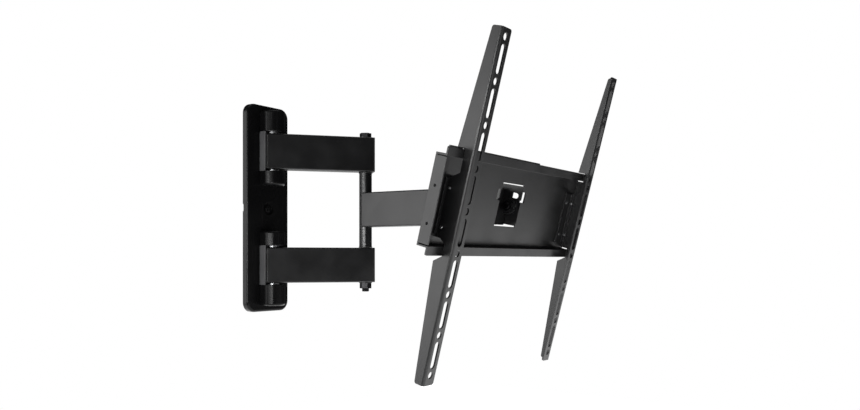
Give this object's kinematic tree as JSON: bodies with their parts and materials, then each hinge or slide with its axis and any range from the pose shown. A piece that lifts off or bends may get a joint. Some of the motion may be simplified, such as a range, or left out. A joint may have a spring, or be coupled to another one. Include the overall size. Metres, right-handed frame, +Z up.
{
  "type": "full motion tv wall mount",
  "caption": "Wall plate with paired folding arms, a single outer arm, a swivel and tilt head, and a wide tray with slotted upright strips that carry a television.",
  "frame": {"origin": "centre of the wall plate's back face, on the wall", "axes": "+X right along the wall as seen from the room, +Y into the wall (the arms reach out along -Y), +Z up"},
  "size_m": [0.363, 0.4097, 0.4113],
  "materials": {
    "black_paint": "satin black powder coat",
    "gloss_black_plastic": "glossy black moulding",
    "matte_black_plastic": "matte black moulding",
    "zinc_steel": "bright zinc",
    "black_fastener": "black zinc",
    "nylon": "black nylon"
  },
  "bodies": {
    "wall_side": {"wall_plate": "black_paint", "pivot_lugs": "black_paint", "stop_plates": "black_paint", "wall_cover": "gloss_black_plastic", "cover_screw": "black_fastener", "outer_pivot_caps": "gloss_black_plastic", "inner_pivot_caps": "gloss_black_plastic", "pivot_bolts": "zinc_steel", "pivot_nuts": "zinc_steel", "pivot_collars": "zinc_steel"},
    "inner_arms": {"upper_arm": "black_paint", "lower_arm": "black_paint", "arm_bushes": "black_paint", "arm_end_caps": "matte_black_plastic", "elbow_bolt": "black_fastener", "elbow_nut": "black_fastener", "elbow_washers": "nylon"},
    "outer_link": {"outer_arm": "black_paint", "elbow_tube": "black_paint", "elbow_spacers": "nylon", "swivel_tube": "black_paint"},
    "swivel_head": {"yoke": "black_paint", "swivel_bolt": "black_fastener", "swivel_nut": "black_fastener", "swivel_washers": "nylon", "tilt_bolts": "black_fastener", "tilt_nuts": "black_fastener", "tilt_washers": "nylon"},
    "tv_frame": {"tray": "black_paint", "lock_bar": "black_paint", "left_strip": "black_paint", "right_strip": "black_paint", "strip_tabs": "black_paint", "strip_guides": "black_paint", "strip_rivets": "zinc_steel"}
  },
  "joints": [
    {"name": "wall_hinge", "type": "hinge", "parent": "wall_side", "child": "inner_arms", "pos_m": [0, -0.02, 0], "axis": [0, 0, 1], "range_deg": [-92, 39]},
    {"name": "elbow", "type": "hinge", "parent": "inner_arms", "child": "outer_link", "pos_m": [0.10229, -0.10343, 0], "axis": [0, 0, 1], "range_deg": [-106, 103]},
    {"name": "swivel", "type": "hinge", "parent": "outer_link", "child": "swivel_head", "pos_m": [0.12653, -0.29006, 0], "axis": [0, 0, 1], "range_deg": [-30, 65]},
    {"name": "tilt", "type": "hinge", "parent": "swivel_head", "child": "tv_frame", "pos_m": [0.12653, -0.31606, 0], "axis": [1, 0, 0], "range_deg": [-20, 0]}
  ]
}
